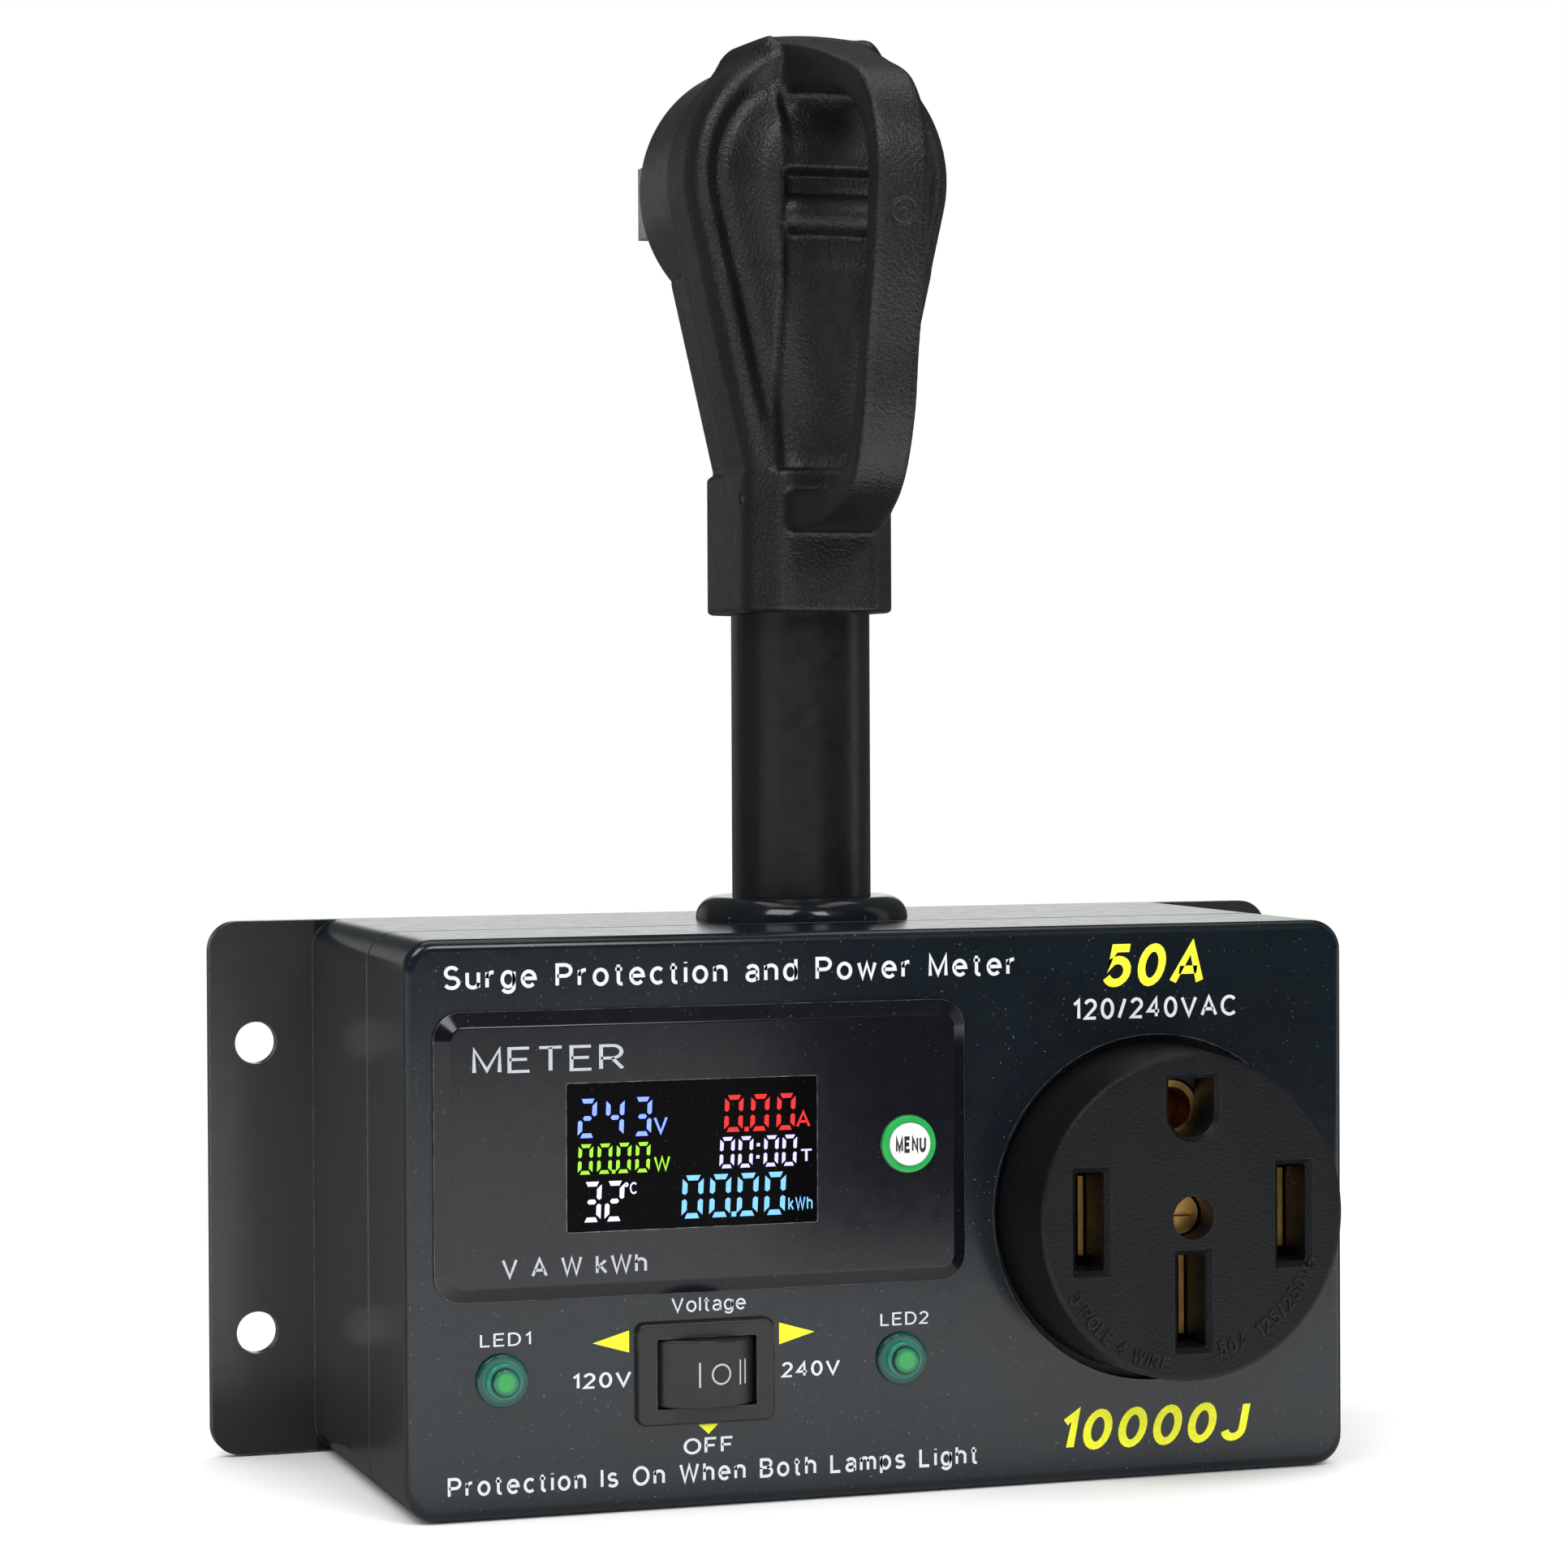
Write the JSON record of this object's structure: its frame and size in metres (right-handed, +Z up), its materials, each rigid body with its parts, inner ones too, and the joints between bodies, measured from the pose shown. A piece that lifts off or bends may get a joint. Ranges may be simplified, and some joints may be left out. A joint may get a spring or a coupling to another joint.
{
  "type": "surge protector plug",
  "caption": "Inline power surge protector: wall-mount box with meter, selector switch, lamps and a round receptacle, and a right-angle pull-handle plug on a short stiff cord.",
  "frame": {"origin": "middle of the four-hole mounting pattern, on the rear mounting face", "axes": "+X to the right seen from the front, +Y out of the rear mounting face (the front panel faces -Y), +Z up along the cord towards the plug"},
  "size_m": [0.198, 0.1021, 0.2422],
  "materials": {
    "box_plastic": "satin black moulded ABS",
    "gasket_rubber": "soft black",
    "zinc_steel": "zinc plated",
    "bezel_plastic": "gloss black",
    "window_plastic": "smoked glossy pane",
    "display_plastic": "seven-segment module",
    "circuit_board": "green solder resist",
    "inner_plastic": "black moulded",
    "terminal_plastic": "green terminal strip",
    "green_plastic": "bright green",
    "white_plastic": "white",
    "switch_plastic": "black nylon",
    "brass": "bare brass",
    "nickel": "nickel plated",
    "lamp_plastic": "translucent green",
    "led_epoxy": "clear epoxy",
    "socket_plastic": "fine textured black",
    "varistor_coat": "blue epoxy coat",
    "fuse_ceramic": "pale ceramic",
    "transformer_plastic": "amber coated winding",
    "gland_nylon": "gloss black nylon",
    "cord_rubber": "smooth satin jacket",
    "wire_black": "black insulation",
    "wire_red": "red insulation",
    "wire_white": "white insulation",
    "wire_green": "green insulation",
    "plug_vinyl": "spark-eroded texture, black vinyl",
    "plug_nylon": "smooth black"
  },
  "bodies": {
    "enclosure": {"rear_base": "box_plastic", "front_cover": "box_plastic", "cover_gasket": "gasket_rubber", "cover_screws": "zinc_steel", "meter_bezel": "bezel_plastic", "display_window": "window_plastic", "display_module": "display_plastic", "meter_board": "circuit_board", "meter_housing": "inner_plastic", "meter_terminals": "terminal_plastic", "menu_ring": "green_plastic", "tact_switch": "inner_plastic", "switch_housing": "switch_plastic", "switch_terminals": "brass", "lamp_lens_1": "lamp_plastic", "lamp_lens_2": "lamp_plastic", "lamp_led_1": "led_epoxy", "lamp_led_2": "led_epoxy", "lamp_nuts": "inner_plastic", "receptacle_face": "socket_plastic", "receptacle_body": "inner_plastic", "contact_line_1": "brass", "contact_line_2": "brass", "contact_neutral": "brass", "contact_ground": "brass", "terminal_screws": "zinc_steel", "centre_screw": "brass", "receptacle_screws": "zinc_steel", "surge_board": "circuit_board", "board_screws": "zinc_steel", "varistors": "varistor_coat", "thermal_fuses": "fuse_ceramic", "gas_tube": "fuse_ceramic", "board_terminals": "terminal_plastic", "surge_leads": "wire_red", "current_transformer": "transformer_plastic", "meter_leads": "wire_black", "gland_body": "gland_nylon", "gland_seal": "gasket_rubber", "gland_dome": "gland_nylon", "gland_locknut": "gland_nylon", "cord_jacket": "cord_rubber", "line_wire_1": "wire_black", "line_wire_2": "wire_red", "neutral_wire": "wire_white", "ground_wire": "wire_green"},
    "plug": {"blade_line_1": "nickel", "blade_line_2": "nickel", "blade_neutral": "nickel", "ground_pin": "nickel", "plug_insert": "plug_nylon", "plug_body": "plug_vinyl"},
    "button": {"menu_button": "white_plastic", "tact_plunger": "white_plastic"},
    "rocker": {"switch_rocker": "switch_plastic", "switch_plunger": "white_plastic"},
    "seesaw": {"switch_contact": "brass"}
  },
  "joints": [
    {"name": "cord_flex", "type": "hinge", "parent": "enclosure", "child": "plug", "pos_m": [0, -0.027, 0.0741], "axis": [1, 0, 0], "range_deg": [-20, 20], "stiffness_Nm_per_rad": 8, "deforming": ["cord_jacket", "line_wire_1", "line_wire_2", "neutral_wire", "ground_wire"]},
    {"name": "menu_press", "type": "slide", "parent": "enclosure", "child": "button", "axis": [0, 1, 0], "range_m": [0, 0.0007], "stiffness_N_per_m": 400},
    {"name": "rocker_tilt", "type": "hinge", "parent": "enclosure", "child": "rocker", "pos_m": [-0.032, -0.072, -0.0242], "axis": [0, 0, 1], "range_deg": [-10, 10]},
    {"name": "contact_tilt", "type": "hinge", "parent": "enclosure", "child": "seesaw", "pos_m": [-0.032, -0.061, -0.0242], "axis": [0, 0, 1], "range_deg": [-4, 4]}
  ],
  "couplings": [
    {"joint": "contact_tilt", "follows": "rocker_tilt", "ratio": -0.4}
  ]
}
